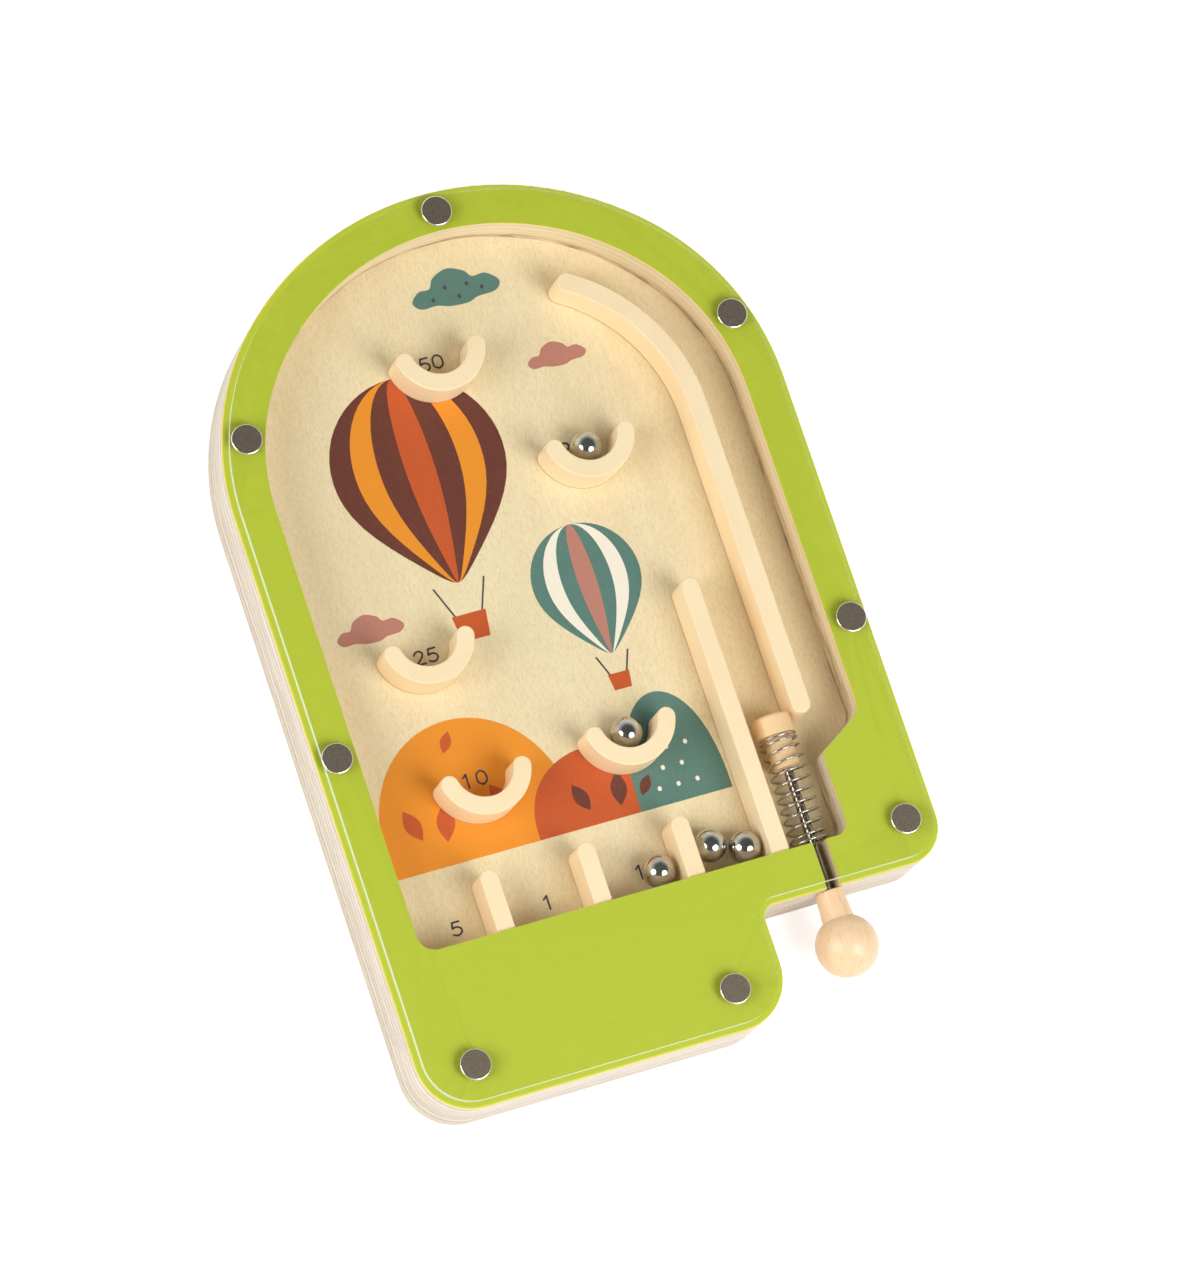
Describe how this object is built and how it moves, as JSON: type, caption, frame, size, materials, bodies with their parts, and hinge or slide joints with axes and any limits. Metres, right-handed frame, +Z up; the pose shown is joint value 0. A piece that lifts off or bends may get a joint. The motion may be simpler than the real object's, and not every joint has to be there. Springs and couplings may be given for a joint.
{
  "type": "bagatelle board game",
  "caption": "Hand-held wooden bagatelle in a flat arched case: a sprung plunger sends steel balls up a lane to drop into curved cups and slots under a nailed clear cover.",
  "frame": {"origin": "centre of the bounding box's underside, on the face that the board rests on", "axes": "+Y up the board from the knob's end towards the arch, +Z up through the clear cover, +X to the right towards the plunger's side"},
  "size_m": [0.15, 0.2294, 0.0234],
  "materials": {
    "plywood": "sawn birch plywood, pale face with printed colours under the field",
    "painted_plywood": "plywood with a smooth yellow-green painted top and bare sawn edges",
    "clear_sheet": "clear acrylic sheet, polished faces and satin cut edge",
    "nail_steel": "dull grey-brown flat nail heads",
    "light_wood": "smooth sanded pale hardwood",
    "rod_steel": "bright drawn steel rod",
    "spring_steel": "bright spring wire",
    "knob_wood": "turned hardwood, satin",
    "ball_steel": "mirror-polished steel balls"
  },
  "bodies": {
    "case": {"base_panel": "plywood", "frame": "painted_plywood", "cover_sheet": "clear_sheet", "cover_nails": "nail_steel", "cup_1": "light_wood", "cup_2": "light_wood", "cup_3": "light_wood", "cup_4": "light_wood", "cup_5": "light_wood", "divider_1": "light_wood", "divider_2": "light_wood", "divider_3": "light_wood", "straight_rail": "light_wood", "lane_rail": "light_wood", "plunger_spring": "spring_steel"},
    "plunger": {"plunger_rod": "rod_steel", "plunger_head": "light_wood", "plunger_knob": "knob_wood"},
    "rolling_ball_1": {"ball_1": "ball_steel"},
    "rolling_ball_2": {"ball_2": "ball_steel"},
    "rolling_ball_3": {"ball_3": "ball_steel"},
    "rolling_ball_4": {"ball_4": "ball_steel"},
    "rolling_ball_5": {"ball_5": "ball_steel"}
  },
  "joints": [
    {"name": "plunger_slide", "type": "slide", "parent": "case", "child": "plunger", "axis": [0, -1, 0], "range_m": [0, 0.02], "stiffness_N_per_m": 150, "springref_m": -0.003, "deforming": ["plunger_spring"]},
    {"name": "ball_1_roll", "type": "slide", "parent": "case", "child": "rolling_ball_1", "axis": [0, 1, 0], "range_m": [0, 0.054]},
    {"name": "ball_2_roll", "type": "slide", "parent": "case", "child": "rolling_ball_2", "axis": [0, 1, 0], "range_m": [0, 0.066]},
    {"name": "ball_3_roll", "type": "slide", "parent": "case", "child": "rolling_ball_3", "axis": [0, 1, 0], "range_m": [0, 0.022]},
    {"name": "ball_4_roll", "type": "slide", "parent": "case", "child": "rolling_ball_4", "axis": [0, 1, 0], "range_m": [0, 0.0235]},
    {"name": "ball_5_roll", "type": "slide", "parent": "case", "child": "rolling_ball_5", "axis": [0, 1, 0], "range_m": [0, 0.0965]}
  ]
}
